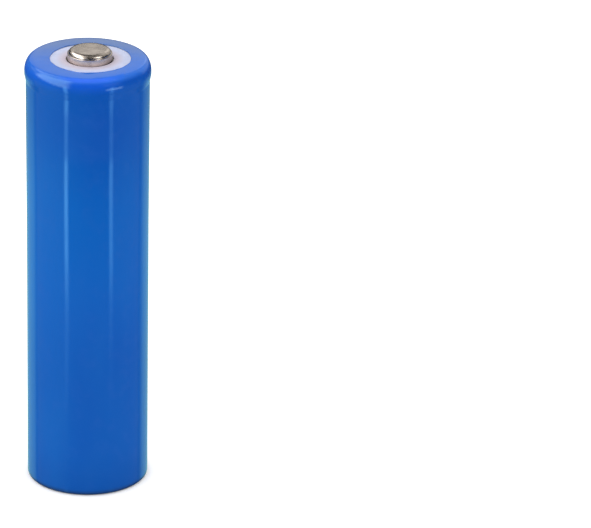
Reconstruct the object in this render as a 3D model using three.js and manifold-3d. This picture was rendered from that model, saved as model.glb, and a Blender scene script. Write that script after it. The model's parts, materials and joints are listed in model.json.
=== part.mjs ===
// Cylindrical lithium-ion cell, 18650 size, button top, with a protection board under the negative end.
// Millimetres. +Z runs along the cell's axis towards the positive button; the origin is the centre of
// the plane the cell stands on (the sleeve's bottom fold). The sense strip runs up the side at
// STRIP_ANGLE. Profiles are lists of [radius, z]; ranges are [low, high].
import * as THREE from "three";
import { mergeVertices } from "three/addons/utils/BufferGeometryUtils.js";
import Module from "manifold-3d";

const wasm = await Module();
wasm.setup();

const { degToRad, radToDeg, clamp } = THREE.MathUtils;

// ---------------------------------------------------------------- driving dimensions
const SEG = 40; // facets round every revolved piece

const BODY_R = 9.2; // outside of the sleeve on the straight wall
const SLEEVE_T = 0.15; // sleeve wall
const RIM_R = 9.5; // sleeve over the crimped rim, where the film is thicker and stands off the can
const RIM_ROUND = { across: 1.05, down: 2 }; // the rim's corner is a quarter of an ellipse
const BODY_H = 68; // sleeve's bottom fold to sleeve's top fold
const TOP_OPEN_R = 6.1; // opening in the sleeve's top fold
const OPEN_SHIFT = 0.4; // the top opening sits this far off the axis, along +X
const BOTTOM_OPEN_R = 6.5; // opening in the sleeve's bottom fold

const BUTTON_TOP = 69.42; // overall length
const CROWN = { flat: 2.3, across: 0.88, down: 0.54 }; // button's flat and its elliptical shoulder
const BUTTON_SHIFT = 0.3; // the button and its washer sit this far off the axis, along +X
const WASHER_SLIP = 0.15; // the washer also sits this far along +Y

const CAN_R = 9.025; // 18.05 mm can
const CAN_T = 0.225; // can wall
const CAN_BOTTOM = 2.15; // underside of the can's floor
const CAN_FLOOR_T = 0.3;
const CAN_TOP = 67.34; // top of the crimped lip
const LIP_R = 6.95; // where the crimped lip ends
const CRIMP_R = 0.75; // outside radius of the crimp's corner
const BEAD = { z: 63.6, depth: 1.45, half: 0.75 }; // rolled groove: middle, depth, half height
const HEADER_R = 8.38; // cap, current limiter and burst disc held in the gasket

const STRIP_ANGLE = degToRad(117); // where the sense strip runs, from +X
const STRIP_W = 2.4;
const STRIP_T = 0.1;
const TAPE_W = 4.0;

const ROLL_R = 1.62; // inside of the winding
const ROLL_Z = [3.1, 61.7]; // bottom and top edges of the separators
const PITCH = 1.0; // one cathode, one anode and two separators per turn
const SHEET_T = 0.32; // coated foils, drawn thicker than life, in fewer turns
const SEP_T = 0.1;
const SHEET_GAP = 0.04;
const TURNS = 5.85;
const ROLL_SEG = 20; // facets per turn of the winding
const TAB_W = 2.2;

const BOARD_R = 8.7; // the board and the round parts stacked with it
const BOARD_Z = [0.37, 0.97];
const PART_Z = BOARD_Z[1] + 0.02; // underside of what sits on the board

// ---------------------------------------------------------------- geometry helpers
// Merged, wound outwards, with no collapsed triangles.
function tidy(geometry) {
  const bare = geometry.index ? geometry.toNonIndexed() : geometry.clone();
  for (const name of Object.keys(bare.attributes)) {
    if (name !== "position") bare.deleteAttribute(name);
  }
  const merged = mergeVertices(bare, 1e-4);
  const { position } = merged.attributes;
  const source = merged.index.array;
  const corners = [0, 1, 2].map(() => new THREE.Vector3());
  const kept = [];
  let volume = 0;
  for (let i = 0; i < source.length; i += 3) {
    const triangle = [...source.slice(i, i + 3)];
    if (new Set(triangle).size < 3) continue;
    kept.push(...triangle);
    triangle.forEach((vertex, k) => corners[k].fromBufferAttribute(position, vertex));
    volume += corners[0].dot(corners[1].cross(corners[2]));
  }
  if (volume < 0) {
    for (let i = 0; i < kept.length; i += 3) {
      [kept[i + 1], kept[i + 2]] = [kept[i + 2], kept[i + 1]];
    }
  }
  merged.setIndex(kept);
  merged.computeVertexNormals();
  return merged;
}

// An open profile of [radius, z, corner radius, corner steps], the last two left out at sharp points,
// turned into plain points with arcs at the corners. The two ends are always sharp.
function rounded(points) {
  return points.flatMap(([x, z, radius, steps], i) => {
    if (!radius) return [[x, z]];
    const apex = new THREE.Vector2(x, z);
    const towards = ([nextX, nextZ]) => new THREE.Vector2(nextX, nextZ).sub(apex).normalize();
    const back = towards(points[i - 1]);
    const ahead = towards(points[i + 1]);
    const half = Math.acos(clamp(back.dot(ahead), -1, 1)) / 2;
    const reach = radius / Math.tan(half);
    const bisector = back.clone().add(ahead).normalize();
    const centre = apex.clone().addScaledVector(bisector, radius / Math.sin(half));
    const start = apex.clone().addScaledVector(back, reach).sub(centre);
    const end = apex.clone().addScaledVector(ahead, reach).sub(centre);
    let turn = end.angle() - start.angle();
    if (turn > Math.PI) turn -= 2 * Math.PI;
    if (turn < -Math.PI) turn += 2 * Math.PI;
    return Array.from({ length: steps + 1 }, (_, k) =>
      start
        .clone()
        .rotateAround(new THREE.Vector2(), (turn * k) / steps)
        .add(centre)
        .toArray(),
    );
  });
}

// Quarter ellipse of profile points, from its widest point up to the edge of the flat at `top`.
function shoulder({ flat, across, down, top, steps }) {
  return Array.from({ length: steps + 1 }, (_, k) => {
    const angle = ((steps - k) / steps) * (Math.PI / 2);
    return [flat + across * Math.sin(angle), top - down * (1 - Math.cos(angle))];
  });
}

// Revolves a profile about Z. One with both ends on the axis stays open there; any other is closed.
function revolve(profile, segments = SEG) {
  const points = profile.map(([radius, z]) => new THREE.Vector2(radius, z));
  const onAxis = profile[0][0] === 0 && profile.at(-1)[0] === 0;
  if (!onAxis) points.push(points[0].clone());
  return tidy(new THREE.LatheGeometry(points, segments, Math.PI / 2).rotateX(Math.PI / 2));
}

// Flat ring about Z, or a disc where `inner` is 0.
function ring({ inner, outer, z: [bottom, top], segments }) {
  return revolve([[inner, bottom], [outer, bottom], [outer, top], [inner, top]], segments);
}

// Box centred on Y = 0, `width` wide along Y.
function box({ x: [xLow, xHigh], width, z: [bottom, top] }) {
  return tidy(
    new THREE.BoxGeometry(xHigh - xLow, width, top - bottom).translate(
      (xLow + xHigh) / 2,
      0,
      (bottom + top) / 2,
    ),
  );
}

// A polygon of Vector2 in XY pushed up from z = 0.
function extrude(points, depth) {
  const options = { depth, bevelEnabled: false, steps: 1 };
  return new THREE.ExtrudeGeometry(new THREE.Shape(points), options);
}

function prism(points, [bottom, top]) {
  const outline = points.map(([x, y]) => new THREE.Vector2(x, y));
  return tidy(extrude(outline, top - bottom).translate(0, 0, bottom));
}

// A thin strip bent along a centre line of [x, z] in the XZ plane, `width` wide in Y.
function bentStrip(path, { thickness, width }) {
  const points = path.map(([x, z]) => new THREE.Vector2(x, z));
  const left = [];
  const right = [];
  points.forEach((point, i) => {
    const before = i > 0 && point.clone().sub(points[i - 1]).normalize();
    const after = i < points.length - 1 && points[i + 1].clone().sub(point).normalize();
    const along = before && after ? before.clone().add(after).normalize() : before || after;
    const normal = new THREE.Vector2(-along.y, along.x);
    const leg = after || before;
    // widens the mitre at a bend, up to a limit
    const stretch = 1 / Math.max(0.3, Math.abs(normal.dot(new THREE.Vector2(-leg.y, leg.x))));
    left.push(point.clone().addScaledVector(normal, (thickness / 2) * stretch));
    right.push(point.clone().addScaledVector(normal, (-thickness / 2) * stretch));
  });
  // the outline's x, y become the part's X, Z; the extrusion runs along -Y
  const outline = [...left, ...right.reverse()];
  return tidy(extrude(outline, width).rotateX(Math.PI / 2).translate(0, width / 2, 0));
}

function toSolid(geometry) {
  return new wasm.Manifold(
    new wasm.Mesh({
      numProp: 3,
      vertProperties: new Float32Array(geometry.attributes.position.array),
      triVerts: new Uint32Array(geometry.index.array),
    }),
  );
}

function toGeometry(solid) {
  const mesh = solid.getMesh();
  const positions = new Float32Array(mesh.numVert * 3);
  for (let i = 0; i < mesh.numVert; i++) {
    const start = i * mesh.numProp;
    positions.set(mesh.vertProperties.subarray(start, start + 3), i * 3);
  }
  const geometry = new THREE.BufferGeometry();
  geometry.setAttribute("position", new THREE.BufferAttribute(positions, 3));
  geometry.setIndex(new THREE.BufferAttribute(new Uint32Array(mesh.triVerts), 1));
  return tidy(geometry);
}

const cut = (geometry, ...tools) =>
  toGeometry(tools.reduce((rest, tool) => rest.subtract(toSolid(tool)), toSolid(geometry)));
const common = (one, other) => toGeometry(toSolid(one).intersect(toSolid(other)));

const polar = (radius, degrees) => [
  radius * Math.cos(degToRad(degrees)),
  radius * Math.sin(degToRad(degrees)),
];
const evenAngles = (count, first = 0) =>
  Array.from({ length: count }, (_, k) => first + (360 / count) * k);

// Copies of a cutting tool turned about Z.
const around = (degrees, tool) => degrees.map((angle) => tool.clone().rotateZ(degToRad(angle)));

// Round cutting tools with their centres on a circle about Z.
function drills(degrees, { circle, radius, z: [bottom, top] }) {
  return degrees.map((angle) =>
    tidy(
      new THREE.CylinderGeometry(radius, radius, top - bottom, 10)
        .rotateX(Math.PI / 2)
        .translate(...polar(circle, angle), (bottom + top) / 2),
    ),
  );
}

// ---------------------------------------------------------------- materials
const paint = (look) => new THREE.MeshStandardMaterial({ metalness: 0, ...look });
const metal = (look) => paint({ ...look, metalness: 1 });
const BLUE_FILM = paint({ color: 0x1559b5, roughness: 0.28 });
const WHITE_BOARD = paint({ color: 0xdcdbe6, roughness: 0.75 });
const NICKEL = metal({ color: 0xb4a99b, roughness: 0.28 });
const CAN_STEEL = metal({ color: 0xb9bcc0, roughness: 0.3 });
const ALUMINIUM = metal({ color: 0xc9ccd0, roughness: 0.35 });
const GASKET = paint({ color: 0x2b2f36, roughness: 0.5 });
const PTC = paint({ color: 0x3a3a3c, roughness: 0.7 });
const CATHODE = paint({ color: 0x2c2b2e, roughness: 0.8 });
const ANODE = paint({ color: 0x1f2225, roughness: 0.75 });
const SEPARATOR = paint({ color: 0xf0f0ee, roughness: 0.6 });
const KAPTON = paint({ color: 0xc9872b, roughness: 0.3 });
const GREEN_TAPE = paint({ color: 0x2f7f5f, roughness: 0.35 });
const FIBRE = paint({ color: 0x1d5a38, roughness: 0.4 });
const CHIP = paint({ color: 0x141416, roughness: 0.6 });
const CERAMIC = paint({ color: 0xa58457, roughness: 0.5 });
const CLEAR_PP = paint({ color: 0xd9dee2, roughness: 0.45 });
const PAPER = paint({ color: 0x7a8f8a, roughness: 0.85 });

const cell = new THREE.Group();
function add(name, geometry, material, rotation = 0) {
  const mesh = new THREE.Mesh(geometry, material);
  mesh.name = name;
  mesh.rotation.z = rotation;
  cell.add(mesh);
  return mesh;
}

// ---------------------------------------------------------------- outer wrap and positive terminal
// One face of the sleeve from the bottom opening up to the top one, `inset` in from the outside.
// `drop` lowers the waist and the rim's foot.
function sleeveFace({ inset, foldRadius, drop }) {
  const wall = BODY_R - inset;
  return rounded([
    [BOTTOM_OPEN_R, inset],
    [wall, inset, foldRadius, 3],
    [wall, 42],
    [wall + 0.05, 54],
    [wall + 0.085, 63],
    [wall + 0.09, 64.6 - drop],
    [RIM_R - inset - 0.01, 65.55 - drop],
    ...shoulder({
      flat: RIM_R - RIM_ROUND.across,
      across: RIM_ROUND.across - inset,
      down: RIM_ROUND.down,
      top: BODY_H - inset,
      steps: 6,
    }),
    [TOP_OPEN_R, BODY_H - inset],
  ]);
}

// Height of the ridge over the sense strip, at an angle in radians about Z.
function ridgeRise(angle) {
  const apart = Math.abs(angle - STRIP_ANGLE);
  const degrees = radToDeg(Math.min(apart, 2 * Math.PI - apart));
  if (degrees < 9.5) return 0.18;
  return degrees < 18.5 ? 0.06 : 0;
}

// Heat-shrink sleeve: a wall that widens a hair towards the top, a thick soft roll over the crimped
// rim with a waist under it, and a fold at each end. A low ridge stands over the sense strip.
function shrinkSleeve() {
  const outside = sleeveFace({ inset: 0, foldRadius: 0.45, drop: 0 });
  const inside = sleeveFace({ inset: SLEEVE_T, foldRadius: 0.4, drop: 0.1 });
  const sleeve = revolve([...outside, ...inside.reverse()]);
  const { position } = sleeve.attributes;
  const ridge = { minRadius: 9.0, top: 67.1 };
  for (let i = 0; i < position.count; i++) {
    const x = position.getX(i);
    const y = position.getY(i);
    const z = position.getZ(i);
    const radius = Math.hypot(x, y);
    if (z > 60 && radius < TOP_OPEN_R + 0.1) position.setX(i, x + OPEN_SHIFT);
    if (radius < ridge.minRadius || z > ridge.top) continue;
    const scale = (radius + ridgeRise(Math.atan2(y, x))) / radius;
    position.setXY(i, x * scale, y * scale);
  }
  return tidy(sleeve);
}
add("shrink_sleeve", shrinkSleeve(), BLUE_FILM);

// White insulating washer lying on the crimped lip and the button's flange.
const washer = ring({ inner: 3.58, outer: 7.9, z: [67.63, 67.83] });
add("top_washer", washer, WHITE_BOARD).position.set(BUTTON_SHIFT, WASHER_SLIP, 0);

// Stamped button: flange under the washer, straight wall, a narrow ledge, then a rounded crown.
// Three notches in the flange let gas out, and the sense strip enters through one of them.
function positiveButton() {
  const flangeBottom = 67.42;
  const inside = [
    [0, BUTTON_TOP - 0.28],
    [2.52, BUTTON_TOP - 0.28],
    [2.8, BUTTON_TOP - 0.55],
    [2.8, 68.56],
    [3.12, 68.38],
    [3.12, flangeBottom],
  ];
  const outside = rounded([
    [4.6, flangeBottom],
    [4.6, 67.6],
    [3.4, 67.6],
    [3.37, 68.81, 0.06, 2],
    [3.19, 68.82],
    ...shoulder({ ...CROWN, top: BUTTON_TOP, steps: 5 }),
    [0, BUTTON_TOP],
  ]);
  const notch = box({ x: [3.75, 5], width: 3.4, z: [67.1, 67.9] });
  return cut(revolve([...inside, ...outside]), ...around(evenAngles(3), notch));
}
add("positive_button", positiveButton(), NICKEL, STRIP_ANGLE).position.x = BUTTON_SHIFT;

// Arc round the crimp's corner, `gap` off the can, from the wall up to the lip.
function overCrimp(gap) {
  const steps = 4;
  const radius = CRIMP_R + gap;
  return Array.from({ length: steps + 1 }, (_, k) => {
    const angle = ((Math.PI / 2) * k) / steps;
    return [
      CAN_R - CRIMP_R + radius * Math.cos(angle),
      CAN_TOP - CRIMP_R + radius * Math.sin(angle),
    ];
  });
}

// A band, on +X, up the can's side and over its rim to radius `end`. `foot` lists its bottom points,
// from the inner face round to the outer one.
function bandOverRim({ foot, gap, thickness, end, width }) {
  const outerGap = gap + thickness;
  const profile = [
    ...foot,
    ...overCrimp(outerGap),
    [end, CAN_TOP + outerGap],
    [end, CAN_TOP + gap],
    ...overCrimp(gap).reverse(),
  ];
  return common(revolve(profile), box({ x: [3, 10], width, z: [0, 70] }));
}

// Nickel sense strip from the positive cap, over the insulated rim and down the side to the board.
function senseStrip() {
  const gap = 0.075;
  const footEnd = 7.2;
  const foot = [
    [CAN_R + gap, PART_Z + STRIP_T],
    [footEnd, PART_Z + STRIP_T],
    [footEnd, PART_Z],
    [CAN_R + gap + STRIP_T, PART_Z],
  ];
  return bandOverRim({ foot, gap, thickness: STRIP_T, end: 3.95, width: STRIP_W });
}
add("sense_strip", senseStrip(), NICKEL, STRIP_ANGLE);

// Polyimide tape that keeps the strip off the can.
function stripTape() {
  const gap = 0.01;
  const thickness = 0.05;
  const bottom = 2.3;
  const foot = [
    [CAN_R + gap, bottom],
    [CAN_R + gap + thickness, bottom],
  ];
  return bandOverRim({ foot, gap, thickness, end: 6.6, width: TAPE_W });
}
add("strip_insulation_tape", stripTape(), KAPTON, STRIP_ANGLE);

// ---------------------------------------------------------------- can
// Half-ellipse groove cut into a wall of the given radius, from its bottom edge up.
function bead(wall, half) {
  const steps = 6;
  return Array.from({ length: steps + 1 }, (_, k) => {
    const angle = -Math.PI / 2 + (Math.PI * k) / steps;
    return [wall - BEAD.depth * Math.cos(angle), BEAD.z + half * Math.sin(angle)];
  });
}

// One face of the can from the floor's centre up to the lip. `floorCorner` is [radius, steps].
function canFace({ inset, floor, floorCorner }) {
  const wall = CAN_R - inset;
  return rounded([
    [0, floor],
    [wall, floor, ...floorCorner],
    ...bead(wall, BEAD.half + inset),
    [wall, CAN_TOP - inset, CRIMP_R - inset, 4],
    [LIP_R, CAN_TOP - inset],
  ]);
}

// Deep-drawn can with a rolled bead groove and its mouth crimped over the gasket.
function can() {
  const outside = canFace({ inset: 0, floor: CAN_BOTTOM, floorCorner: [0.6, 3] });
  const insideFloor = CAN_BOTTOM + CAN_FLOOR_T;
  const inside = canFace({ inset: CAN_T, floor: insideFloor, floorCorner: [0.4, 2] });
  return revolve([...outside, ...inside.reverse()]);
}
add("can", can(), CAN_STEEL);

// ---------------------------------------------------------------- header: gasket and the discs it holds
const GASKET_PROFILE = [
  [6.9, 64.59], [8.77, 64.59], [8.77, 66.59], [8.625, 66.94], [8.275, 67.085],
  [6.75, 67.085], [6.75, 66.73], [8.42, 66.73], [8.42, 64.87], [6.9, 64.87],
];
add("crimp_gasket", revolve(GASKET_PROFILE), GASKET);

// Flat positive cap of the bare cell, with three gas holes in its shoulder.
const CAP_PROFILE = [
  [0, 67.04], [4.62, 67.04], [5.3, 66.22], [HEADER_R, 66.22],
  [HEADER_R, 66.67], [5.5, 66.67], [4.9, 67.39], [0, 67.39],
];
const capHole = box({ x: [4.7, 5.6], width: 1.6, z: [66.5, 67.2] });
const topCap = cut(revolve(CAP_PROFILE), ...around(evenAngles(3, 60), capHole));
add("top_cap", topCap, CAN_STEEL, STRIP_ANGLE);

// Resettable current limiter: a conductive-polymer ring, drawn as one piece.
add("ptc_ring", ring({ inner: 5.4, outer: HEADER_R, z: [65.93, 66.2] }), PTC);

// Burst disc: clamped rim, thin scored web, and a nub welded to the plate below.
// Overpressure snaps the web up by about 0.4 mm, which breaks the weld and stops the current.
const VENT_PROFILE = [
  [0, 65.33], [0.9, 65.33], [1.3, 65.5], [5.3, 65.55], [5.9, 65.64],
  [HEADER_R, 65.64], [HEADER_R, 65.91], [5.8, 65.91], [5.2, 65.72], [3.6, 65.68],
  [3.5, 65.6], [3.4, 65.68], [1.2, 65.65], [0.9, 65.53], [0, 65.53],
];
add("vent_disc", revolve(VENT_PROFILE), ALUMINIUM);

add("cid_insulator", ring({ inner: 5.7, outer: 8.3, z: [65.33, 65.61] }), CLEAR_PP);

// Plate under the burst disc, with six round holes.
const cidPlate = cut(
  ring({ inner: 0, outer: 7.9, z: [64.9, 65.3] }),
  ...drills(evenAngles(6, 30), { circle: 4.2, radius: 0.75, z: [64.5, 66] }),
);
add("cid_plate", cidPlate, ALUMINIUM);

// ---------------------------------------------------------------- winding
// Four sheets wound together: cathode, separator, anode, separator, each at its offset in the pitch.
const OFF_CATHODE = 0;
const OFF_SEP_1 = OFF_CATHODE + SHEET_T + SHEET_GAP;
const OFF_ANODE = OFF_SEP_1 + SEP_T + SHEET_GAP;
const OFF_SEP_2 = OFF_ANODE + SHEET_T + SHEET_GAP;
const sheetRadius = (turn, offset) => ROLL_R + PITCH * turn + offset;

// `turns` is where the sheet starts and ends; `inset` is how far its edges lie inside the separators'.
function sheet({ offset, thickness, turns: [start, end], inset }) {
  const steps = Math.round((end - start) * ROLL_SEG);
  const spiral = (extra) =>
    Array.from({ length: steps + 1 }, (_, k) => {
      const turn = start + k / ROLL_SEG;
      return polar(sheetRadius(turn, offset) + extra, turn * 360);
    });
  const outline = [...spiral(thickness), ...spiral(0).reverse()];
  return prism(outline, [ROLL_Z[0] + inset, ROLL_Z[1] - inset]);
}
const electrode = (offset, turns, inset) => sheet({ offset, thickness: SHEET_T, turns, inset });
const separator = (offset) => sheet({ offset, thickness: SEP_T, turns: [0, TURNS], inset: 0 });
add("cathode_sheet", electrode(OFF_CATHODE, [0.4, 5.4], 1), CATHODE);
add("anode_sheet", electrode(OFF_ANODE, [0.2, 5.6], 0.5), ANODE);
add("separator_inner", separator(OFF_SEP_1), SEPARATOR);
add("separator_outer", separator(OFF_SEP_2), SEPARATOR);

// Tape that holds the tail of the winding down, most of it before the tail and one step past it.
function rollEndTape() {
  const step = 9; // degrees
  const tailStep = Math.round((TURNS * 360) / step);
  const radius = sheetRadius(TURNS, OFF_SEP_2 + SEP_T);
  const arc = (gap) => [-3, -2, -1, 0, 1].map((k) => polar(radius + gap, step * (tailStep + k)));
  return prism([...arc(0.1), ...arc(0.04).reverse()], [6, 58]);
}
add("roll_end_tape", rollEndTape(), GREEN_TAPE);

// Slit steel tube that keeps the middle of the winding open.
const centerPin = cut(
  ring({ inner: 1.05, outer: 1.32, z: [3.2, 61.5], segments: 20 }),
  box({ x: [0.5, 2], width: 0.3, z: [3, 62] }),
);
add("center_pin", centerPin, CAN_STEEL);

// Aluminium tab from the cathode, through the upper insulator and folded back under the CID plate.
const POSITIVE_TAB_X = sheetRadius(3, OFF_CATHODE) + 0.12; // a whole turn, so it leaves on +X
const POSITIVE_TAB_PATH = [
  [POSITIVE_TAB_X, 60.8], [POSITIVE_TAB_X, 63.1], [POSITIVE_TAB_X - 0.4, 63.55],
  [-2.6, 63.85], [-3.0, 64.15], [-2.6, 64.55], [-1.9, 64.8], [2.2, 64.8],
];
const positiveTab = bentStrip(POSITIVE_TAB_PATH, { thickness: 0.12, width: TAB_W });
add("positive_tab", positiveTab, ALUMINIUM);

// Disc over the winding, with a slot for the tab and three round holes.
const UPPER_CUT_Z = [61.5, 62.5];
const upperInsulator = cut(
  ring({ inner: 1.7, outer: 8.6, z: [61.85, 62.1] }),
  box({ x: [POSITIVE_TAB_X - 0.6, POSITIVE_TAB_X + 0.6], width: 3, z: UPPER_CUT_Z }),
  ...drills([90, 180, 270], { circle: 5.4, radius: 0.9, z: UPPER_CUT_Z }),
);
add("upper_insulator", upperInsulator, CLEAR_PP);

// Nickel tab from the anode's outer turn, folded across the can's floor. Drawn on +X, turned to -X.
const NEGATIVE_TAB_R = sheetRadius(5.5, OFF_ANODE) + 0.1; // a half turn, so it leaves on -X
const NEGATIVE_TAB_PATH = [
  [NEGATIVE_TAB_R + 0.06, 3.5], [NEGATIVE_TAB_R + 0.06, 2.52], [-1.5, 2.52],
];
const negativeTab = bentStrip(NEGATIVE_TAB_PATH, { thickness: 0.1, width: TAB_W });
add("negative_tab", negativeTab, NICKEL, Math.PI);

// Disc under the winding, open at its -X edge for the tab.
const lowerInsulator = cut(
  ring({ inner: 1.7, outer: 8.4, z: [2.72, 2.95] }),
  box({ x: [-9, -NEGATIVE_TAB_R + 0.6], width: 3.2, z: [2, 4] }),
);
add("lower_insulator", lowerInsulator, CLEAR_PP);

// ---------------------------------------------------------------- protection board under the can
add("board_insulator_disc", ring({ inner: 2.6, outer: BOARD_R, z: [1.97, 2.11] }), PAPER);

// Ring round the board's parts, open where the sense strip comes in.
const carrierRing = cut(
  ring({ inner: 8.05, outer: BOARD_R, z: [1, 1.94] }),
  box({ x: [7, 10], width: 3.6, z: [0, 3] }),
);
add("board_carrier_ring", carrierRing, CLEAR_PP, STRIP_ANGLE);

add("protection_board", ring({ inner: 0, outer: BOARD_R, z: BOARD_Z }), FIBRE);

// Embossed contact disc: its flat face shows in the sleeve's bottom opening.
const CONTACT_PROFILE = [
  [0, 0.05], [6.1, 0.05], [6.28, 0.2], [BOARD_R, 0.2],
  [BOARD_R, 0.35], [6.1, 0.35], [5.95, 0.21], [0, 0.21],
];
add("negative_contact_plate", revolve(CONTACT_PROFILE), NICKEL);

// Folded nickel link from the can's floor to the board.
const LINK_PATH = [[-1.4, 2.07], [1.3, 2.07], [1.6, 1.85], [1.6, 1.27], [1.3, 1.05], [-1.4, 1.05]];
add("board_link_tab", bentStrip(LINK_PATH, { thickness: 0.1, width: 2.4 }), NICKEL);

// Small outline package: moulded body with a row of leads down each long side.
function smallOutline({ length, bodyWidth, leadSpan, leads, pitch }) {
  const leadHalf = 0.14;
  let part = toSolid(box({ x: [-length / 2, length / 2], width: bodyWidth, z: [0.08, 0.9] }));
  for (let i = 0; i < leads; i++) {
    const x = (i - (leads - 1) / 2) * pitch;
    const lead = box({ x: [x - leadHalf, x + leadHalf], width: leadSpan, z: [0, 0.22] });
    part = part.add(toSolid(lead));
  }
  return toGeometry(part);
}
const mosfet = smallOutline({ length: 3, bodyWidth: 4.4, leadSpan: 6.2, leads: 4, pitch: 0.65 });
const controller = smallOutline({
  length: 2.9,
  bodyWidth: 1.6,
  leadSpan: 2.7,
  leads: 3,
  pitch: 0.95,
});
const chipPart = (height) => box({ x: [-0.8, 0.8], width: 0.8, z: [0, height] });
const resistor = chipPart(0.45);

// name, geometry, material, x, y, degrees about Z
const BOARD_PARTS = [
  ["mosfet_1", mosfet, CHIP, 4.7, 0, 0],
  ["mosfet_2", mosfet, CHIP, -4.7, -0.6, 0],
  ["protection_ic", controller, CHIP, 0.2, -4.9, 0],
  ["chip_resistor_1", resistor, CHIP, 2.9, -5.6, 25],
  ["chip_resistor_2", resistor, CHIP, 1.4, 5.4, 0],
  ["chip_capacitor", chipPart(0.8), CERAMIC, -2.4, -6.0, -20],
];
for (const [name, geometry, material, x, y, degrees] of BOARD_PARTS) {
  add(name, geometry, material, degToRad(degrees)).position.set(x, y, PART_Z);
}

export default cell;
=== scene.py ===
"""Looks for an upright cylindrical cell: film sleeve, washer, button and contact disc as fine meshes,
a procedural material on every piece, and a white studio. The cell's axis is Z, its button is on top,
and the camera looks from -Y (the front), with +X on the right. Lengths are in millimetres up to the
point where they are handed to Blender."""

import json
import math

import bmesh
import bpy
import numpy as np
from mathutils import Matrix, Vector


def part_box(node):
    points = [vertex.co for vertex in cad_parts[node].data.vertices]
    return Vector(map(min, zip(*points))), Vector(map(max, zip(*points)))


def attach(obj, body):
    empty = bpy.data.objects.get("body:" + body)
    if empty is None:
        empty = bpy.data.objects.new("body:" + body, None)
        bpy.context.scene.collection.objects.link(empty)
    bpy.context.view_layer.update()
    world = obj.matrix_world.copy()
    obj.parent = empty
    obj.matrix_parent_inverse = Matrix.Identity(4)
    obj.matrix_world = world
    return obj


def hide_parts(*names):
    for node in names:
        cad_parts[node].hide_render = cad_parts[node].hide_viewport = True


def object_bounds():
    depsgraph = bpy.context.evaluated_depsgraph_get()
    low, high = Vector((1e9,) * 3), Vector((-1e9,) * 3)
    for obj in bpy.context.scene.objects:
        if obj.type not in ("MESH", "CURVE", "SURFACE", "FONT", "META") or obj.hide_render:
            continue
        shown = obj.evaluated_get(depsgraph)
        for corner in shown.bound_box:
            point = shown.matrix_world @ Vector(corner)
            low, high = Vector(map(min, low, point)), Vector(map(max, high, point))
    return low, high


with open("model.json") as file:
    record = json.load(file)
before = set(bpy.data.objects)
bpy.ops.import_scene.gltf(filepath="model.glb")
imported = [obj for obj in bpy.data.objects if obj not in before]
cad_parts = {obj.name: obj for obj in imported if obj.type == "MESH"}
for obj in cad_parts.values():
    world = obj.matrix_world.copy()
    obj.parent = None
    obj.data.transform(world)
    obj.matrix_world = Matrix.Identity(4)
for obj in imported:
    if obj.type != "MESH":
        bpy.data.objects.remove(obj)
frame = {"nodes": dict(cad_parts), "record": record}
cad_lo, cad_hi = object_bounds()
MM = 0.001


# ---------------------------------------------------------------- sizes
def box_mm(node):
    return [np.array(corner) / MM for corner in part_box(node)]


washer_lo, washer_hi = box_mm("top_washer")
plate_lo, plate_hi = box_mm("negative_contact_plate")
TOP = box_mm("shrink_sleeve")[1][2]  # the sleeve's top fold
BUTTON_TOP = box_mm("positive_button")[1][2]
TOP_X = (washer_lo[0] + washer_hi[0]) / 2  # centre of the washer and the button, off the axis
WASHER_Y = (washer_lo[1] + washer_hi[1]) / 2

BODY_R = 9.2
RIM_R = 9.5
RIM_WIDTH, RIM_DEPTH = 1.05, 1.95  # half-axes of the rim's elliptical quarter
WALL_FILM, FOLD_FILM = 0.13, 0.16  # film thickness
OPEN_R = 6.1  # opening in the top fold
BASE_OPEN_R = 6.5  # opening in the bottom fold
OPEN_SHIFT = 0.4  # how far the top opening sits off the axis, along +X
STRIP = math.radians(117)  # place of the strip under the film, from +X towards +Y
STRIP_RISE = 0.17

WASHER_HOLE_R, WASHER_R = 3.58, 7.9
CROWN_FLAT_R = 2.3  # where the button's flat top turns into its shoulder
SHOULDER_WIDTH, SHOULDER_DEPTH = 0.88, 0.53
BUTTON_WALL = 3.12  # inside radius of the button's lower wall
FLANGE_R = 4.6
DISC_R = 8.7
DISC_STEP = 0.15  # how far the contact disc's outer ring is raised


# ---------------------------------------------------------------- mesh helpers
def smooth(start, end, x):
    t = np.clip((np.asarray(x, float) - start) / (end - start), 0, 1)
    return t * t * (3 - 2 * t)


def rounded(points, steps=8):
    """An open profile of (r, z[, corner radius]) with its corners rounded."""
    out = []
    for i, (r, z, *radius) in enumerate(points):
        if not radius:
            out.append((r, z))
            continue
        radius = radius[0]
        corner = np.array((r, z), float)
        back = np.array(points[i - 1][:2], float) - corner
        ahead = np.array(points[i + 1][:2], float) - corner
        back /= np.linalg.norm(back)
        ahead /= np.linalg.norm(ahead)
        half = math.acos(float(np.clip(back @ ahead, -1, 1))) / 2
        bisector = back + ahead
        centre = corner + bisector / np.linalg.norm(bisector) * radius / math.sin(half)
        first = corner + back * radius / math.tan(half) - centre
        final = corner + ahead * radius / math.tan(half) - centre
        start, end = math.atan2(first[1], first[0]), math.atan2(final[1], final[0])
        sweep = (end - start + math.pi) % (2 * math.pi) - math.pi
        for k in range(steps + 1):
            angle = start + sweep * k / steps
            out.append((centre[0] + radius * math.cos(angle), centre[1] + radius * math.sin(angle)))
    return np.array(out, float)


def resample(profile, spacing):
    """Points added along a profile so that none are more than spacing(r, z) apart."""
    out = [profile[0]]
    for p, q in zip(profile[:-1], profile[1:]):
        length = np.linalg.norm(q - p)
        if length < 1e-6:
            continue
        n = max(1, int(math.ceil(length / spacing(*((p + q) / 2)))))
        out += [p + (q - p) * k / n for k in range(1, n + 1)]
    return np.array(out)


def angles(segments):
    return np.linspace(0, 2 * math.pi, segments, endpoint=False)[None, :]


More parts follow.
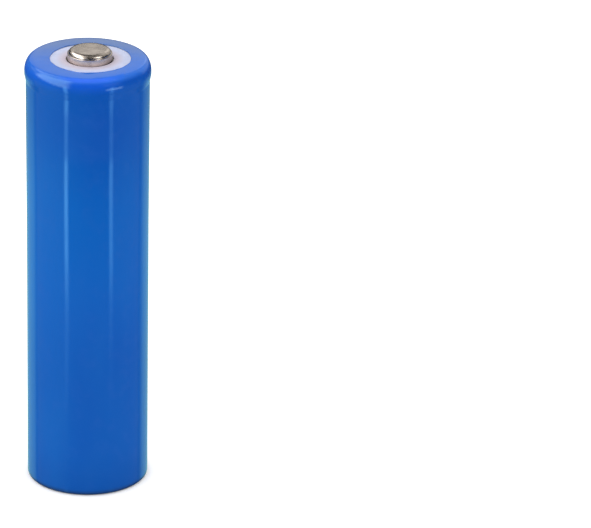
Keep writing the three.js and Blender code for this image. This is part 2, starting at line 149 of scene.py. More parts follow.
def turn(profile, segments):
    """Rings (rows, segments, 3) of a profile revolved about Z."""
    around = angles(segments)
    r, z = profile[:, :1], profile[:, 1:2]
    level = np.broadcast_to(z, (len(profile), segments))
    return np.stack([r * np.cos(around), r * np.sin(around), level], -1)


def ripple(angle, orders, seed):
    """Periodic noise round the axis, about -1 to 1."""
    rng = np.random.default_rng(seed)
    out = np.zeros_like(angle)
    for k in orders:
        out += rng.uniform(0.5, 1) * np.cos(k * angle + rng.uniform(0, 2 * math.pi))
    return out / (0.5 * len(orders))


def surface(name, rings, loop):
    """A closed mesh from rings (rows, segments, 3). loop joins the last ring to the first; otherwise
    each end closes on a point of its own in the ring's middle."""
    rows, segments, _ = rings.shape
    verts = list(map(tuple, rings.reshape(-1, 3) * MM))
    faces = []
    for i in range(rows if loop else rows - 1):
        this, other = i * segments, ((i + 1) % rows) * segments
        for j in range(segments):
            k = (j + 1) % segments
            faces.append((this + j, this + k, other + k, other + j))
    if not loop:
        for row, flip in ((0, True), (rows - 1, False)):
            base, centre = row * segments, len(verts)
            verts.append(tuple(rings[row].mean(0) * MM))
            for j in range(segments):
                k = (j + 1) % segments
                edge = (base + k, base + j) if flip else (base + j, base + k)
                faces.append((centre, *edge))
    mesh = bpy.data.meshes.new(name)
    mesh.from_pydata(verts, [], faces)
    bm = bmesh.new()
    bm.from_mesh(mesh)
    bmesh.ops.recalc_face_normals(bm, faces=bm.faces)
    if bm.calc_volume(signed=True) < 0:
        bmesh.ops.reverse_faces(bm, faces=bm.faces)
    for face in bm.faces:
        face.smooth = True
    bm.to_mesh(mesh)
    bm.free()
    obj = bpy.data.objects.new(name, mesh)
    bpy.context.scene.collection.objects.link(obj)
    return obj


# ---------------------------------------------------------------- the film sleeve
def sleeve_outline():
    """The film's outer face, from the top opening over the rim and down to the base opening."""
    wall = [  # r, z[, corner radius]
        (OPEN_R, TOP - 0.015),
        (6.6, TOP - 0.005),
        (7.1, TOP),
        (7.6, TOP - 0.008),
        (8.05, TOP - 0.026),
        # the rim, a quarter of an ellipse that the fold slopes gently into
        *(
            (
                RIM_R - RIM_WIDTH + RIM_WIDTH * math.sin(q),
                TOP - 0.05 - RIM_DEPTH * (1 - math.cos(q)),
            )
            for q in np.linspace(0.04, math.pi / 2, 30)
        ),
        (RIM_R - 0.01, TOP - 2.45, 0.6),
        (BODY_R + 0.09, TOP - 3.4, 0.8),
        (BODY_R + 0.085, TOP - 5.0, 1.5),
        (BODY_R + 0.05, TOP - 14.0, 9.0),
        (BODY_R, TOP - 26.0, 9.0),
        (BODY_R, 34.0),
        (BODY_R, 0.0, 0.5),
        (BASE_OPEN_R, 0.0),
    ]
    return resample(
        rounded(wall, 10),
        lambda r, z: 0.18 if z > 62 else (0.22 if z < 1.5 else 1.1),
    )


def lip(start, end):
    """Three points that round a cut edge towards the axis."""
    middle, half = (start + end) / 2, np.linalg.norm(start - end) / 2
    inwards = np.array([-1.0, 0.0])
    return [
        middle + (start - middle) * math.cos(q) + inwards * half * math.sin(q)
        for q in (math.pi / 4, math.pi / 2, 3 * math.pi / 4)
    ]


def make_sleeve():
    segments = 288
    outer = sleeve_outline()
    tangent = np.gradient(outer, axis=0)
    tangent /= np.linalg.norm(tangent, axis=1)[:, None]
    normal = np.stack([-tangent[:, 1], tangent[:, 0]], 1)
    film = np.where(outer[:, 1] > TOP - 0.6, FOLD_FILM, WALL_FILM)[:, None]
    inner = outer + normal * -film
    base_lip, top_lip = lip(outer[-1], inner[-1]), lip(inner[0], outer[0])
    rings = turn(np.array([*outer, *base_lip, *inner[::-1], *top_lip]), segments)

    # each point takes its displacement from the outer point it belongs to
    guide = np.array([*outer, *[outer[-1]] * 3, *outer[::-1], *[outer[0]] * 3])
    r, z = guide[:, :1], guide[:, 1:2]
    around = angles(segments)
    radial = np.zeros(rings.shape[:2])
    rise = np.zeros_like(radial)

    # the film stands up over the strip at the back
    off = np.abs((around - STRIP + math.pi) % (2 * math.pi) - math.pi)
    ridge = 1 - smooth(math.radians(8.0), math.radians(16.0), off)
    below_rim = 1 - smooth(TOP - 1.3, TOP - 0.5, z)
    radial += STRIP_RISE * ridge * smooth(0.35, 1.2, z) * below_rim

    # slow unevenness of the shrunk film
    wall_zone = smooth(0.2, 1.5, z) * (1 - smooth(TOP - 0.8, TOP - 0.1, z))
    radial += wall_zone * (
        0.0035 * ripple(around, (5, 8, 11), 3) * np.cos(z * 0.09 + 0.6)
        + 0.003 * ripple(around, (7, 13, 17), 4) * np.sin(z * 0.16)
        + 0.0022 * ripple(around, (3, 6), 5) * np.cos(z * 0.37 + 1.1)
    )
    # gathers just under the rim
    under = smooth(TOP - 5.0, TOP - 3.0, z) * (1 - smooth(TOP - 2.6, TOP - 1.4, z))
    radial += 0.003 * under * ripple(around, (14, 19, 23, 31), 6)

    # top fold: fine radial pleats towards the opening, an uneven and off-centre edge
    fold = (z > TOP - 0.5) * (1 - smooth(OPEN_R, 8.6, r))
    rise += 0.014 * fold * ripple(around, (9, 14, 21, 27), 7) - 0.012 * fold**2
    edge = 0.05 * ripple(around, (2, 3, 5), 8) + 0.018 * ripple(around, (11, 17, 26), 9)
    radial += fold * edge
    # bottom fold: pleats and an uneven edge
    base_fold = (z < 0.3) * (1 - smooth(BASE_OPEN_R, 8.7, r))
    rise += 0.02 * base_fold * np.maximum(ripple(around, (8, 13, 19, 29), 10), 0)
    edge = 0.06 * ripple(around, (2, 4, 5), 11) + 0.02 * ripple(around, (12, 19), 12)
    radial += base_fold * edge

    rings[..., 0] += radial * np.cos(around) + OPEN_SHIFT * fold
    rings[..., 1] += radial * np.sin(around)
    rings[..., 2] += rise
    return surface("film_sleeve", rings, loop=True)


# ---------------------------------------------------------------- washer, button, contact disc
def make_washer():
    segments = 256
    hole, rim, low, high = WASHER_HOLE_R, WASHER_R, washer_lo[2], washer_hi[2]
    outline = [  # r, z[, corner radius]
        (6, low),
        (hole, low, 0.02),
        (hole, high, 0.05),
        (rim, high, 0.05),
        (rim, low, 0.02),
        (6, low),
    ]
    profile = resample(rounded(outline, 4)[:-1], lambda r, z: 0.22)
    rings = turn(profile, segments)
    around = angles(segments)
    r = profile[:, :1]
    # a rough-cut hole
    radial = (1 - smooth(hole, hole + 0.5, r)) * 0.012 * ripple(around, (7, 16, 29, 41), 21)
    rings[..., 0] += radial * np.cos(around)
    rings[..., 1] += radial * np.sin(around)
    # a hair of cupping, as die-cut board has, and the hole's edge pressed down
    rings[..., 2] += 0.012 * smooth(hole, 6.0, r) * ripple(around, (2, 3), 22)
    rings[..., 2] -= 0.02 * (1 - smooth(hole, hole + 0.35, r))
    rings[..., 0] += TOP_X
    rings[..., 1] += WASHER_Y
    return surface("washer_disc", rings, loop=True)


def make_button():
    segments = 256
    top = BUTTON_TOP
    outline = [  # r, z[, corner radius]: over the outside, then back up the inside
        (0.0, top),
        (1.6, top - 0.002),
        (2.1, top - 0.006),
        # the crown's shoulder, a quarter of an ellipse
        *(
            (
                CROWN_FLAT_R + SHOULDER_WIDTH * math.sin(q),
                top - 0.01 - SHOULDER_DEPTH * (1 - math.cos(q)),
            )
            for q in np.linspace(0, math.pi / 2, 22)
        ),
        # a short wall down to the ledge, the tier under it and the flange
        (3.19, top - 0.60, 0.02),
        (3.36, top - 0.61, 0.03),
        (3.38, top - 0.66, 0.02),
        (3.40, 67.66, 0.05),
        (FLANGE_R, 67.6, 0.04),
        (FLANGE_R, 67.42, 0.04),
        (BUTTON_WALL, 67.42, 0.04),
        (BUTTON_WALL, 68.38, 0.1),
        (2.8, 68.56, 0.1),
        (2.8, top - 0.62, 0.1),
        (CROWN_FLAT_R, top - 0.28, 0.1),
        (0.0, top - 0.28),
    ]
    profile = resample(rounded(outline), lambda r, z: 0.16)[1:-1]
    rings = turn(profile, segments)
    around = angles(segments)
    r, z = profile[:, :1], profile[:, 1:2]
    # a stamped part isn't quite round, and its crown's edge isn't quite level
    crown = smooth(68.7, 69.2, z) * smooth(1.5, 2.6, r)
    rings[..., 2] += 0.008 * crown * ripple(around, (2, 3), 31)
    rings[..., 0] = rings[..., 0] * (1 + 0.0015 * ripple(around, (2,), 32)) + TOP_X
    return surface("button_shell", rings, loop=False)


def make_contact_disc():
    low, high = plate_lo[2], plate_hi[2]
    outline = [  # r, z[, corner radius]: along the underside, then back over the upper face
        (0.0, low),
        # a shallow ring groove
        (4.55, low, 0.2),
        (4.7, low + 0.05, 0.15),
        (4.95, low + 0.05, 0.15),
        (5.1, low, 0.2),
        # the step up to the outer ring
        (6.05, low, 0.12),
        (6.28, low + DISC_STEP, 0.1),
        (DISC_R, low + DISC_STEP, 0.03),
        (DISC_R, high, 0.03),
        (6.1, high, 0.08),
        (5.95, low + 0.16, 0.08),
        (0.0, low + 0.16),
    ]
    profile = resample(rounded(outline, 6), lambda r, z: 0.3)
    return surface("contact_disc", turn(profile[1:-1], 192), loop=False)


# ---------------------------------------------------------------- node helpers
class Value:
    """A node's output. Arithmetic on it adds Math nodes."""

    def __init__(self, shader, socket):
        self.shader, self.socket = shader, socket

    def __add__(self, other):
        return self.shader.math("ADD", self, other)

    def __radd__(self, other):
        return self.shader.math("ADD", other, self)

    def __sub__(self, other):
        return self.shader.math("SUBTRACT", self, other)

    def __rsub__(self, other):
        return self.shader.math("SUBTRACT", other, self)

    def __mul__(self, other):
        return self.shader.math("MULTIPLY", self, other)

    def __abs__(self):
        return self.shader.math("ABSOLUTE", self)

    def max(self, other):
        return self.shader.math("MAXIMUM", self, other)

    def ramp(self, start, end, low=0.0, high=1.0):
        """Goes smoothly from low at start to high at end."""
        settings = {"interpolation_type": "SMOOTHSTEP"}
        return self.shader.value("ShaderNodeMapRange", settings, self, start, end, low, high)

    def band(self, start, end, soft):
        """1 between start and end, falling off over soft at each side."""
        return self.ramp(start - soft, start + soft) * self.ramp(end + soft, end - soft)

    def blend(self, first, second):
        """The first colour where this is 0, the second where it is 1."""
        node = self.shader.node("ShaderNodeMix", {"data_type": "RGBA"}, self)
        self.shader.put(node, 6, first)
        self.shader.put(node, 7, second)
        return Value(self.shader, node.outputs[2])


class Shader:
    """The node tree of a material or world."""

    def __init__(self, owner):
        owner.use_nodes = True
        self.owner, self.tree = owner, owner.node_tree

    def put(self, node, key, value):
        socket = node.inputs[key if isinstance(key, int) else key.replace("_", " ")]
        if isinstance(value, Value):
            self.tree.links.new(value.socket, socket)
        else:
            socket.default_value = value

    def node(self, kind, settings=None, *numbered, **named):
        node = self.tree.nodes.new(kind)
        for key, value in (settings or {}).items():
            setattr(node, key, value)
        for key, value in [*enumerate(numbered), *named.items()]:
            self.put(node, key, value)
        return node

    def value(self, kind, settings=None, *numbered, output=0, **named):
        return Value(self, self.node(kind, settings, *numbered, **named).outputs[output])

    def surface(self, **inputs):
        for key, value in inputs.items():
            self.put(self.tree.nodes["Principled BSDF"], key, value)

    def math(self, operation, first, second=0.0, *third):
        return self.value("ShaderNodeMath", {"operation": operation}, first, second, *third)

    def vector(self, operation, *numbered, **named):
        return self.value("ShaderNodeVectorMath", {"operation": operation}, *numbered, **named)

    def coordinates(self, kind):
        return self.value("ShaderNodeTexCoord", output=kind)

    def millimetres(self, stretch=(1, 1, 1)):
        return self.vector("MULTIPLY", self.coordinates("Object"), [1000 * s for s in stretch])

    def split(self, vector):
        return [Value(self, out) for out in self.node("ShaderNodeSeparateXYZ", None, vector).outputs]

    def position(self):
        return self.split(self.millimetres())

    def reach(self, x, y):
        return self.math("SQRT", x * x + y * y)

    def noise(self, vector, scale, detail, rough=0.55):
        named = {"Vector": vector, "Scale": scale, "Detail": detail, "Roughness": rough}
        return self.value("ShaderNodeTexNoise", **named)

    def grain(self, *per_mm, detail=3.0, rough=0.55):
        """Noise with the given cells per millimetre along x, y and z."""
        return self.noise(self.millimetres(per_mm), 1.0, detail, rough)

    def crevice(self, distance):
        """1 in the open, less where surfaces within distance close in."""
        return self.value(
            "ShaderNodeAmbientOcclusion", {"samples": 16}, output="AO", Distance=distance * MM
        )

    def bump(self, height, strength, distance, **normal):
        named = {"Height": height, "Strength": strength, "Distance": distance * MM}
        return self.value("ShaderNodeBump", **named, **normal)


def new_shader(name):
    return Shader(bpy.data.materials.new(name))


def rgb(colour, factor=1.0):
    return (*(part * factor for part in colour), 1.0)


# ---------------------------------------------------------------- materials
def film_colour(shader, x, y, z, handled):
    # the wall: two blues in slow clouds; painted light makes it lighter on the left and about the
    # middle, and painted shade makes it deeper below the rim
    slow = shader.grain(0.09, 0.09, 0.035, detail=2.0)
    shade = slow.ramp(0.35, 0.65, high=0.4) + x.ramp(1.0, -5.5, high=0.6)
    wall = shade.blend((0.0012, 0.077, 0.385, 1), (0.0035, 0.106, 0.425, 1))
    wall = z.ramp(46.0, 63.0, high=0.35).blend(wall, (0.0008, 0.054, 0.33, 1))
    middle = z.ramp(18.0, 38.0) * z.ramp(60.0, 42.0)
    wall = (middle * 0.5).blend(wall, (0.0035, 0.116, 0.47, 1))
    # the top fold lies over white board, so it reads lighter; painted light makes it lighter along
    # its front edge, and painted shade greys it towards the back
    painted_back_grey = (y + slow * 3.0).ramp(-1.0, 9.5)
    fold = painted_back_grey.blend((0.020, 0.130, 0.56, 1), (0.10, 0.17, 0.38, 1))
    painted_front_light = x.ramp(6.5, 1.5) * x.ramp(-5.5, -1.5) * y.ramp(2.0, -5.0)
    painted_fold_front_light = shader.reach(x, y).ramp(6.6, 8.7) * y.ramp(3.0, -6.0, high=0.4)
    fold = painted_fold_front_light.blend(fold, (0.022, 0.135, 0.64, 1))
    # the rim: painted light makes it brighter at the front and left, and painted shade makes it
    # greyer at the back
    rim = painted_front_light.blend((0.0015, 0.066, 0.40, 1), (0.005, 0.088, 0.60, 1))
    rim = x.ramp(-2.5, -6.0).blend(rim, (0.008, 0.105, 0.60, 1))
    rim = y.ramp(4.0, 9.5).blend(rim, (0.05, 0.12, 0.38, 1))
    colour = z.ramp(TOP - 2.7, TOP - 0.4).blend(wall, rim)
    colour = z.ramp(TOP - 1.05, TOP - 0.25).blend(colour, fold)
    # a painted highlight: a lighter, more saturated line along the front of the rim
    line = z.ramp(TOP - 0.75, TOP - 0.3) * z.ramp(TOP - 0.02, TOP - 0.12)
    colour = (line * painted_front_light).blend(colour, (0.038, 0.150, 0.80, 1))
    cloud = shader.grain(0.5, 0.5, 0.5, detail=4.0)
    colour = cloud.ramp(0.45, 0.8, high=0.18).blend(colour, (0.02, 0.10, 0.42, 1))
    # a touch greyer where it has been handled
    colour = shader.vector("MULTIPLY_ADD", (0.0065, 0.0, -0.014), handled, colour)
    # painted shade: darker in towards the foot, with a dark painted contact shadow along the bottom
    # fold
    colour = z.ramp(8.0, 0.5, high=0.3).blend(colour, (0.004, 0.062, 0.30, 1))
    return z.ramp(1.0, 0.2, high=0.8).blend(colour, (0.012, 0.034, 0.085, 1))


def film_material():
    shader = new_shader("film_pvc")
    x, y, z = shader.position()
    # duller where it has been handled, near the top and low down, except round at the sides
    handled = z.ramp(53.6, 56.2) * z.ramp(63.6, 61.2, low=0.25, high=0.6)
    handled = handled.max(z.ramp(45.5, 28.5, high=0.72)) * abs(x).ramp(8.6, 6.6)
    # and where it is stretched over the rim's edge, on the left and in a patch at the front right
    turned = z.ramp(TOP - 0.42, TOP - 0.25) * z.ramp(TOP - 0.012, TOP - 0.05, high=0.62)
    dull = handled.max(turned * x.ramp(0.0, -2.0))
    patch = x.ramp(0.2, 1.4) * x.ramp(5.8, 5.0, high=0.93)
    patch = patch * (z.ramp(TOP - 0.88, TOP - 0.72) * z.ramp(TOP - 0.012, TOP - 0.05))
    dull = dull.max(patch * y.ramp(-4.0, -5.0))
    smears = shader.grain(0.35, 0.35, 0.12)
    peel = shader.bump(shader.grain(0.8, 0.8, 0.35), strength=0.2, distance=0.012)
    fine = shader.grain(5.0, 5.0, 2.0, detail=2.0)
    shader.surface(
        Base_Color=film_colour(shader, x, y, z, handled),
        Roughness=smears.ramp(0.3, 0.7, low=0.07, high=0.11),
        IOR=1.46,
        Specular_IOR_Level=(1.0 - dull) * 0.85,
        Specular_Tint=(0.55, 0.95, 1.0, 1),
        Sheen_Weight=0.10,
        Sheen_Roughness=0.25,
        Sheen_Tint=(0.35, 0.75, 1.0, 1),
        Normal=shader.bump(fine, strength=0.10, distance=0.003, Normal=peel),
    )
    return shader.owner


def board_material():
    shader = new_shader("white_fibre_board")
    fibre = shader.grain(6.0, 6.0, 14.0, detail=5.0, rough=0.65)
    cloud = shader.grain(0.7, 0.7, 0.7).ramp(0.3, 0.7)
    colour = cloud.blend((0.45, 0.49, 0.645, 1), (0.50, 0.53, 0.695, 1))
    colour = fibre.ramp(0.55, 0.75, high=0.25).blend(colour, (0.40, 0.39, 0.46, 1))
    # a little warmer in towards the button
    x, y, _ = shader.position()
    reach = shader.reach(x - TOP_X, y)
    colour = reach.ramp(5.4, 3.9, high=0.8).blend(colour, (0.52, 0.45, 0.51, 1))
    # painted reflected light: the film's blue bounced onto the board along the front
    front = reach.ramp(4.7, 6.0) * y.ramp(-2.0, -5.0, high=0.7)
    shader.surface(
        Base_Color=front.blend(colour, (0.40, 0.46, 0.70, 1)),
        Roughness=fibre.ramp(0.3, 0.7, low=0.7, high=0.9),
        Specular_IOR_Level=0.3,
        Normal=shader.bump(fibre, strength=0.35, distance=0.02),
    )
    return shader.owner


def metal_shader(name, colour, rough, relief=1.0, anisotropy=0.35):
    """Metal with concentric grain from the die, random scuffs and a cloudy plating."""
    shader = new_shader(name)
    x, y, _ = shader.position()
    rings = shader.value(
        "ShaderNodeTexNoise",
        {"noise_dimensions": "1D"},
        W=shader.reach(x, y) * 18.0,
        Scale=1.0,
        Detail=3.0,
    )
    scuff = shader.grain(9.0, 1.2, 4.0)
    cloud = shader.grain(0.8, 0.8, 0.8, detail=4.0)
    clouded = cloud.ramp(0.25, 0.75, low=rough * 0.8, high=rough * 1.15)
    ring_bump = shader.bump(rings, strength=0.10 * relief, distance=0.006)
    shader.surface(
        Base_Color=cloud.ramp(0.3, 0.75).blend(rgb(colour), rgb(colour, 0.8)),
        Metallic=1.0,
        Roughness=clouded + scuff.ramp(0.6, 0.8, high=0.08),
        Anisotropic=anisotropy,
        Tangent=shader.value("ShaderNodeTangent", {"direction_type": "RADIAL", "axis": "Z"}),
        Normal=shader.bump(scuff, strength=0.08 * relief, distance=0.006, Normal=ring_bump),
    )
    return shader


def metal_material(*args, **named):
    return metal_shader(*args, **named).owner


def button_material():
    """Nickel plate with painted shade round the foot and where the crown's wall meets the ledge."""
    bright = (0.76, 0.665, 0.575)
    shader = metal_shader("satin_nickel", bright, rough=0.24, relief=0.45)
    base_colour = shader.tree.nodes["Principled BSDF"].inputs["Base Color"]
    plated = Value(shader, base_colour.links[0].from_socket)
    x, _, z = shader.position()
    x = x - TOP_X
    # painted shade in the gap round the foot and in the crevices, stronger towards the sides
    painted_shade = shader.crevice(0.3).ramp(0.9, 0.35) * abs(x).ramp(1.2, 3.0, low=0.3)
    # painted shade on the crown's foot on the left, under a slanting line, and on its wall lower down
    slant = shader.math("MULTIPLY_ADD", x.max(-2.4), 0.37, z - (BUTTON_TOP - 1.154))
    left_foot = x.ramp(-0.3, -1.0) * slant.ramp(0.07, -0.07, high=0.78)
    left_foot = left_foot * x.ramp(-2.5, -3.0, low=1.0, high=0.6)
    low = x.ramp(-0.4, -1.0) * z.ramp(BUTTON_TOP - 0.36, BUTTON_TOP - 0.5, high=0.42)
    left_foot = left_foot.max(low) * z.ramp(BUTTON_TOP - 0.64, BUTTON_TOP - 0.6)
    # painted shade on the two ends of the tier below the ledge
    tier = z.ramp(BUTTON_TOP - 0.59, BUTTON_TOP - 0.66)
    ends = x.ramp(1.7, 3.3, high=0.6).max(x.ramp(-2.8, -3.4, high=0.45))
    painted_shade = painted_shade.max(left_foot.max(tier * ends))
    shader.surface(Base_Color=painted_shade.blend(plated, rgb(bright, 0.22)))
    return shader.owner


def plain_material(
    name, colour, rough, coarse=1.0, fine=6.0, vary=0.12, bump=0.2, stretch=(1, 1, 1), coat=0.0
):
    """Moulded, coated or printed stock: two scales of noise (cells per millimetre) in colour,
    roughness and relief."""
    shader = new_shader(name)
    broad = shader.grain(*(coarse * s for s in stretch))
    close = shader.grain(*(fine * s for s in stretch), detail=4.0)
    base = broad.ramp(0.3, 0.7).blend(rgb(colour), rgb(colour, 1 - vary))
    shader.surface(
        Base_Color=close.ramp(0.5, 0.8, high=0.4).blend(base, rgb(colour, 1 - 2 * vary)),
        Roughness=close.ramp(0.3, 0.7, low=rough * 0.85, high=min(1.0, rough * 1.15)),
        Coat_Weight=coat,
        Normal=shader.bump(close, strength=bump, distance=0.01),
    )
    return shader.owner


FILM_PVC = film_material()
BOARD = board_material()
NICKEL = button_material()
PLATE = metal_material("plate_nickel", (0.72, 0.68, 0.62), 0.24)
STOCK = {  # material slot: material; each call starts with name, colour, roughness
    "blue_film": FILM_PVC,
    "white_board": BOARD,
    "nickel_plate": metal_material(
        "strip_nickel", (0.70, 0.66, 0.60), 0.3, relief=0.6, anisotropy=0.2
    ),
    "can_steel": metal_material(
        "can_nickelled_steel", (0.66, 0.67, 0.69), 0.22, relief=0.6, anisotropy=0.5
    ),
    "aluminium": metal_material("rolled_aluminium", (0.78, 0.79, 0.81), 0.33, anisotropy=0.4),
    "gasket_plastic": plain_material("gasket_polymer", (0.025, 0.03, 0.042), 0.45),
    "ptc_polymer": plain_material(
        "ptc_polymer", (0.045, 0.045, 0.05), 0.6, coarse=2.0, fine=12.0
    ),
    "cathode_coating": plain_material(
        "cathode_coating", (0.022, 0.022, 0.026), 0.8,
        coarse=0.3, fine=9.0, vary=0.2, bump=0.3, stretch=(1, 1, 0.4),
    ),
    "anode_coating": plain_material(
        "anode_coating", (0.014, 0.015, 0.018), 0.6,
        coarse=0.3, fine=12.0, vary=0.2, bump=0.25, stretch=(1, 1, 0.4),
    ),
    "separator_film": plain_material(
        "separator_film", (0.82, 0.82, 0.80), 0.5,
        coarse=0.2, fine=3.0, vary=0.05, bump=0.15, stretch=(1, 1, 0.15),
    ),
    "polyimide_tape": plain_material(
        "polyimide_tape", (0.50, 0.20, 0.025), 0.25,
        coarse=0.4, fine=4.0, vary=0.15, bump=0.1, coat=0.4,
    ),
    "winding_tape": plain_material(
        "winding_tape", (0.03, 0.21, 0.12), 0.3, coarse=0.4, fine=4.0, bump=0.1, coat=0.3
    ),
    "circuit_board": plain_material(
        "solder_mask", (0.01, 0.10, 0.035), 0.3, coarse=0.6, fine=5.0, vary=0.15, coat=0.5
    ),
    "chip_plastic": plain_material(
        "chip_epoxy", (0.012, 0.012, 0.013), 0.55, coarse=1.5, fine=14.0, vary=0.2, bump=0.35
    ),
    "chip_ceramic": plain_material(
        "chip_ceramic", (0.38, 0.25, 0.11), 0.5, coarse=2.0, fine=16.0, bump=0.3
    ),
    "clear_plastic": plain_material(
        "milky_polypropylene", (0.68, 0.72, 0.75), 0.4, coarse=0.5, fine=5.0, vary=0.06, bump=0.1
    ),
    "insulating_paper": plain_material(
        "insulating_paper", (0.20, 0.27, 0.25), 0.85, coarse=0.8, fine=9.0, bump=0.4
    ),
}


def give(obj, material):
    if obj.data.materials:
        for i in range(len(obj.data.materials)):
            obj.data.materials[i] = material
    else:
        obj.data.materials.append(material)


# ---------------------------------------------------------------- pieces
slot_of = {part["node"]: part["material_slot"] for part in frame["record"]["subparts"]}
for node, obj in frame["nodes"].items():
    give(obj, STOCK[slot_of[node]])

for make, node, material in (
    (make_sleeve, "shrink_sleeve", FILM_PVC),
    (make_washer, "top_washer", BOARD),
    (make_button, "positive_button", NICKEL),
    (make_contact_disc, "negative_contact_plate", PLATE),
):
    piece = make()
    give(piece, material)
    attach(piece, "root")
    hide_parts(node)


# ---------------------------------------------------------------- floor
def table_material():
    """Matt white that glows faintly; the glow drops close to the cell, a painted contact shadow."""
    shader = new_shader("white_table")
    speck = shader.noise(shader.coordinates("Object"), scale=6.0, detail=2.0).ramp(0.3, 0.7)
    shader.surface(
        Base_Color=speck.blend((0.86, 0.86, 0.865, 1), (0.88, 0.88, 0.885, 1)),
        Roughness=0.9,
        Specular_IOR_Level=0.0,
        Emission_Color=(1, 1, 1, 1),
        Emission_Strength=shader.crevice(1.5).ramp(0.4, 0.95, low=0.16, high=0.3),
    )
    return shader.owner


def make_floor():
    mesh = bpy.data.meshes.new("studio_floor")
    bm = bmesh.new()
    bmesh.ops.create_circle(bm, cap_ends=True, cap_tris=True, segments=96, radius=3.0)
    bm.to_mesh(mesh)
    bm.free()
    floor = bpy.data.objects.new("studio_floor", mesh)
    floor.location.z = cad_lo[2] - 0.00001  # just clear of the cell's foot
    bpy.context.scene.collection.objects.link(floor)
    give(floor, table_material())
    floor.visible_glossy = False


make_floor()


# ---------------------------------------------------------------- studio light
def mirrored_light(shader, azimuth, height, behind):
    """What glossy surfaces mirror. Degrees throughout; each factor is a lamp's brightness."""

    def patch(around, up):  # each: from, to, softness
        return azimuth.band(*around) * height.band(*up)

    # dim side boxes, which the upright wall mirrors
    low = height.band(-70.0, -12.0, 6.0)
    left_box = azimuth.band(-112.0, -43.0, 3.0)
    right_box = azimuth.band(47.0, 112.0, 3.0)
    # the big panel at the left, which turns away behind higher up; the rim and crown mirror it
    sill = shader.math("MULTIPLY_ADD", azimuth, -0.2, -12.0)
    panel = azimuth.band(-108.0, -36.0, 9.0) * (height - sill).ramp(-7.0, 7.0)
    panel = panel * height.ramp(56.0, 40.0)
    panel = panel.max(patch((-152.0, -104.0, 6.0), (34.0, 62.0, 4.0)))
    panel = panel.max(patch((-138.0, -62.0, 6.0), (50.0, 70.0, 4.0)) * 0.55)
    # a window right behind, which the level surfaces mirror
    window = azimuth.ramp(148.0, 164.0) + azimuth.ramp(-152.0, -164.0)
    window = window * height.band(14.0, 35.0, 5.0)
    mirror = (
        0.045
        + left_box * low * 0.16
        + right_box * low * 0.12
        + window * 0.60
        + patch((-142.0, -116.0, 5.0), (16.0, 31.0, 4.0)) * 0.55
        + patch((28.0, 60.0, 6.0), (6.0, 22.0, 5.0)) * 0.4
        + panel * 3.4
        + patch((48.0, 74.0, 6.0), (36.0, 68.0, 6.0)) * 3.3
        + patch((116.0, 170.0, 6.0), (0.0, 58.0, 6.0)) * 0.45
        + patch((33.0, 64.0, 4.0), (-15.0, -6.0, 2.0)) * 2.6
        + patch((74.0, 118.0, 8.0), (25.0, 62.0, 8.0)) * 0.12
        + patch((31.0, 54.0, 5.0), (26.0, 52.0, 6.0)) * 1.3
        + height.ramp(55.0, 80.0) * 0.10
    )
    # two narrow strips; lower down they lean outwards, so that their reflections stay straight
    # where the film turns under the rim
    lean = shader.math("MULTIPLY_ADD", height, -0.33, -8.0).max(0.0)
    left_strip = (azimuth + lean).band(-44.2, -37.2, 2.5)
    right_strip = (azimuth - lean).band(41.0, 48.0, 2.5)
    fade = height.ramp(-24.6, -23.4) * height.ramp(8.0, -8.0)
    fade = fade + height.band(-62.0, -29.0, 1.5) * 0.5  # lower halves, seen under the rim
    # the light that skims the sides
    skim = behind * height.band(-30.0, -19.0, 3.0)
    skim = skim * (height.ramp(-20.9, -22.9, low=0.6) * 0.48)

    strip_tint, skim_tint = (0.42, 0.74, 1.05), (0.5, 1.15, 1.05)  # both cool
    shine = shader.vector("SCALE", (1.0, 1.0, 1.0), Scale=mirror)
    for tint, level in (
        (strip_tint, left_strip * (fade * 4.0)),
        (strip_tint, right_strip * (fade * 2.4)),
        (skim_tint, skim),
    ):
        shine = shader.vector("ADD", shine, shader.vector("SCALE", tint, Scale=level))
    return shine


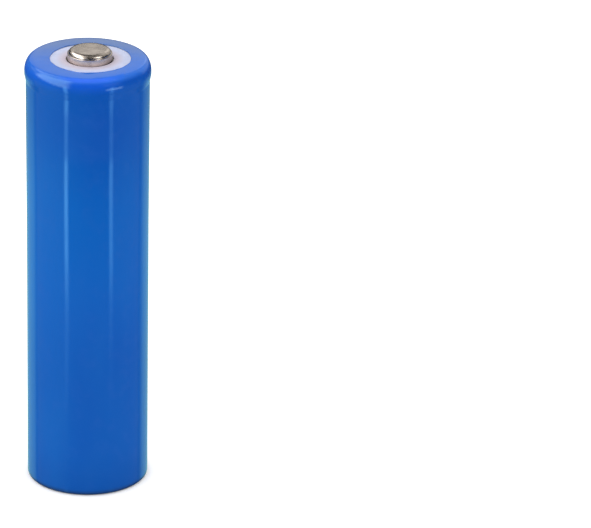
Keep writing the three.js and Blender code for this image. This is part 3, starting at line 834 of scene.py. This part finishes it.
def make_world():
    """White to the camera, lamps to glossy rays, and soft light from all round to the rest."""
    world = bpy.data.worlds.new("studio")
    bpy.context.scene.world = world
    shader = Shader(world)
    world.cycles.sampling_method = "NONE"
    shader.tree.nodes.clear()
    x, y, z = shader.split(shader.coordinates("Generated"))
    # degrees: azimuth is 0 at the front and positive on the right, height is above the horizon
    azimuth = shader.math("ARCTAN2", x, y * -1.0) * (180 / math.pi)
    height = shader.math("ARCSINE", z) * (180 / math.pi)
    behind = azimuth.ramp(112.0, 135.0) + azimuth.ramp(-112.0, -125.0)
    soft = (
        0.62
        + azimuth.band(-130.0, -25.0, 25.0) * 0.65
        + azimuth.band(30.0, 130.0, 25.0) * 0.42
        + behind * 0.35
        + height.ramp(35.0, 75.0) * 0.85
    )
    rays = shader.node("ShaderNodeLightPath").outputs
    glossy = Value(shader, rays["Is Glossy Ray"])
    shine = mirrored_light(shader, azimuth, height, behind)
    shine = shader.vector("SCALE", shine, Scale=glossy)
    soft = shader.vector("SCALE", (1.0, 1.0, 1.0), Scale=soft * (1.0 - glossy))
    seen = shader.vector("ADD", shine, soft)
    seen = Value(shader, rays["Is Camera Ray"]).blend(seen, (1, 1, 1, 1))
    background = shader.value("ShaderNodeBackground", Color=seen, Strength=1.0)
    shader.node("ShaderNodeOutputWorld", None, background)


make_world()

# ---------------------------------------------------------------- camera
SENSOR, LENS = 36.0, 312.23245
DISTANCE, AIM_HEIGHT = 778.116, 32.5  # from the point on the axis that it circles
ELEVATION, PAN, TILT, ROLL = (math.radians(d) for d in (23.38, -2.321, 0.139, -0.025))


def make_camera():
    rise, level = math.sin(ELEVATION), math.cos(ELEVATION)
    eye = Vector((0, -DISTANCE * level, DISTANCE * rise + AIM_HEIGHT))
    ahead = Vector((0, level, -rise))
    right = Vector((1, 0, 0))
    up = right.cross(ahead)
    spin = Matrix.Rotation(PAN, 3, up)
    ahead, right = spin @ ahead, spin @ right
    spin = Matrix.Rotation(TILT, 3, right)
    ahead, up = spin @ ahead, spin @ up
    spin = Matrix.Rotation(ROLL, 3, ahead)
    right, up = spin @ right, spin @ up
    data = bpy.data.cameras.new("camera")
    data.sensor_width = SENSOR
    data.lens = LENS
    data.clip_start, data.clip_end = 0.01, 20.0
    camera = bpy.data.objects.new("camera", data)
    rows = [(right[i], up[i], -ahead[i], eye[i] * MM) for i in range(3)]
    camera.matrix_world = Matrix((*rows, (0, 0, 0, 1)))
    bpy.context.scene.collection.objects.link(camera)
    bpy.context.scene.camera = camera


make_camera()
bpy.context.scene.view_settings.view_transform = "Standard"
